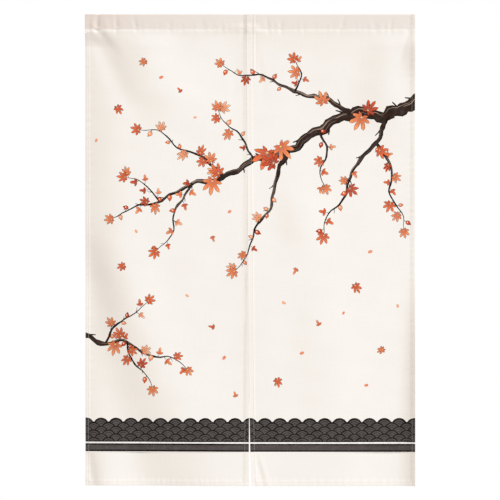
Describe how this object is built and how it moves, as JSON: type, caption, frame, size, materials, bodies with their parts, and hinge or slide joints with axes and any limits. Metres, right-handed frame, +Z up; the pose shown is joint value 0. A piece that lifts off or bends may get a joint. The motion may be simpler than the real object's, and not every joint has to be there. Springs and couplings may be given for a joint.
{
  "type": "noren curtain",
  "caption": "Split doorway curtain of plain-woven cloth: hemmed panels lapped and joined at the top centre, with an open rod pocket along the top edge.",
  "frame": {"origin": "middle of the top edge, where the cloth goes over the rod", "axes": "+Z up along the drop, +X to the right of someone facing the front, +Y from the front to the back"},
  "size_m": [0.8406, 0.0257, 1.2],
  "materials": {
    "panel_cloth": "cream plain weave, matt, printed in dark grey, brown and orange",
    "pocket_cloth": "cream plain weave, matt, unprinted",
    "sewing_thread": "off-white polyester thread"
  },
  "bodies": {
    "root": {"left_panel": "panel_cloth", "right_panel": "panel_cloth", "left_rod_pocket": "pocket_cloth", "right_rod_pocket": "pocket_cloth"}
  },
  "joints": []
}
